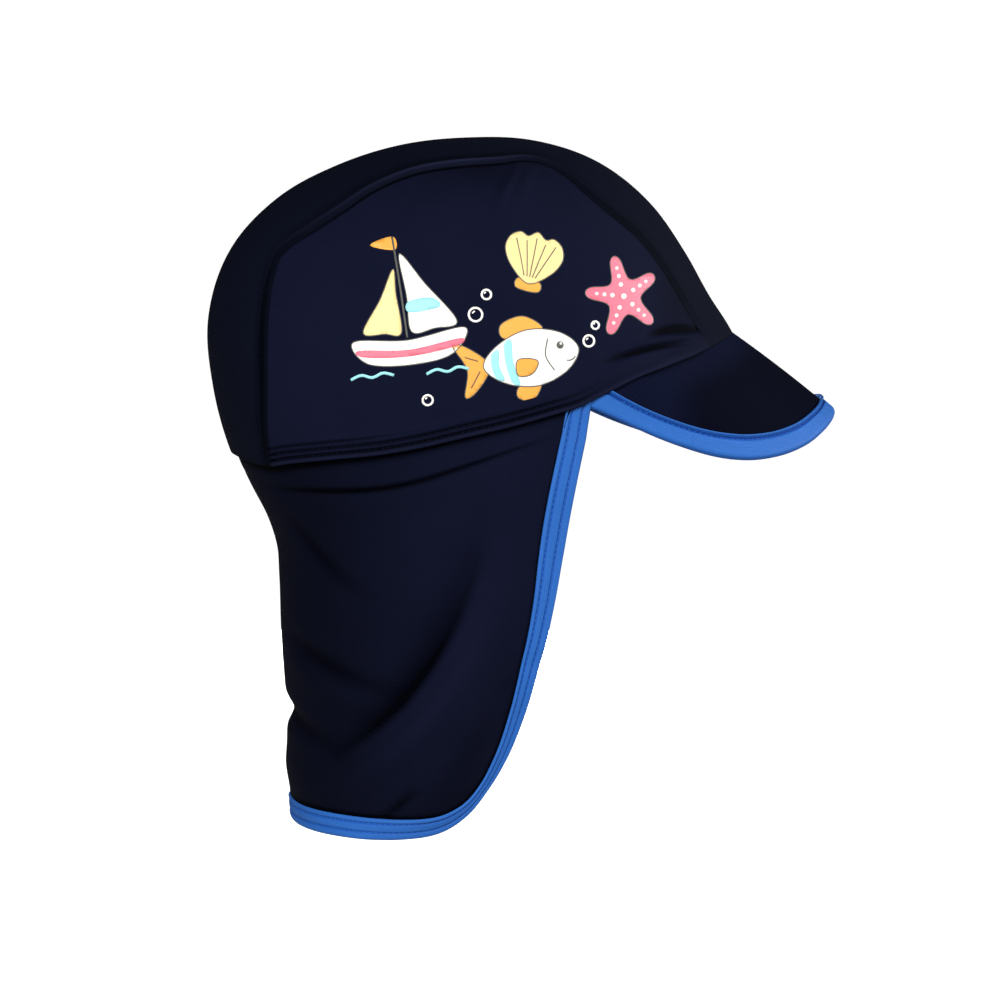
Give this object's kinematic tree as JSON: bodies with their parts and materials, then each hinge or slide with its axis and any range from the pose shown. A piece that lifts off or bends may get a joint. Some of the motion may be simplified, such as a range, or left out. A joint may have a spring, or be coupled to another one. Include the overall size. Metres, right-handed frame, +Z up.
{
  "type": "child's swim cap with peak and neck flap",
  "caption": "Soft swim cap for a child, with a curved front peak and a long flap that shades the ears and neck, edged in folded tape.",
  "frame": {"origin": "the top of the inside of the crown, where it rests on the top of the head", "axes": "+X to the front, towards the peak; +Y to the wearer's left; +Z up"},
  "size_m": [0.2323, 0.152, 0.2519],
  "materials": {
    "crown_cloth": "dark navy stretch knit with a soft sheen",
    "peak_cloth": "dark navy stretch knit over a soft padded peak",
    "flap_cloth": "dark navy stretch knit, thin and matt",
    "binding_tape": "bright blue elastic tape, ribbed along its length"
  },
  "bodies": {
    "root": {"crown_centre_panel": "crown_cloth", "crown_side_panel_right": "crown_cloth", "crown_side_panel_left": "crown_cloth", "peak": "peak_cloth", "peak_binding": "binding_tape", "neck_flap": "flap_cloth", "flap_binding": "binding_tape"}
  },
  "joints": []
}
